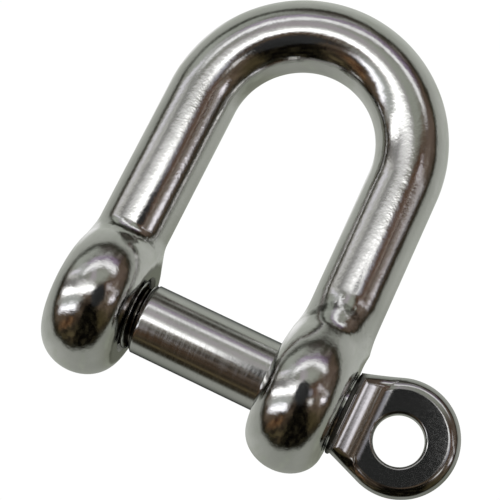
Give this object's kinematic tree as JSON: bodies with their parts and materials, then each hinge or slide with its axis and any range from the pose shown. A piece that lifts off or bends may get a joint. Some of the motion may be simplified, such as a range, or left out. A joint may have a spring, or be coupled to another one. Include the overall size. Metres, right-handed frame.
{
  "type": "dee shackle",
  "caption": "Straight dee shackle in polished stainless steel with a screw pin whose flat eye is turned by hand; joins rope, chain or fittings.",
  "frame": {"origin": "on the pin axis, at the centre of the pin's flat end face in the tapped ear (20.6 mm from the middle of the jaw)", "axes": "+X along the pin axis towards the pin's eye, +Z from the pin up to the crown, Y normal to the plane of the shackle"},
  "size_m": [0.058, 0.0216, 0.062],
  "materials": {
    "polished_steel": "polished",
    "turned_steel": "polished"
  },
  "bodies": {
    "shackle_body": {"shackle_body": "polished_steel"},
    "pin_carrier": {"pin_tip": "turned_steel"},
    "screw_pin": {"screw_pin": "turned_steel"}
  },
  "joints": [
    {"name": "pin_travel", "type": "slide", "parent": "shackle_body", "child": "pin_carrier", "axis": [1, 0, 0], "range_m": [0, 0.0315]},
    {"name": "pin_turn", "type": "hinge", "parent": "pin_carrier", "child": "screw_pin", "pos_m": [0, 0, 0], "axis": [1, 0, 0], "range_deg": [0, 7560]}
  ],
  "couplings": [
    {"joint": "pin_turn", "follows": "pin_travel", "rad_per_m": 4188.8}
  ]
}
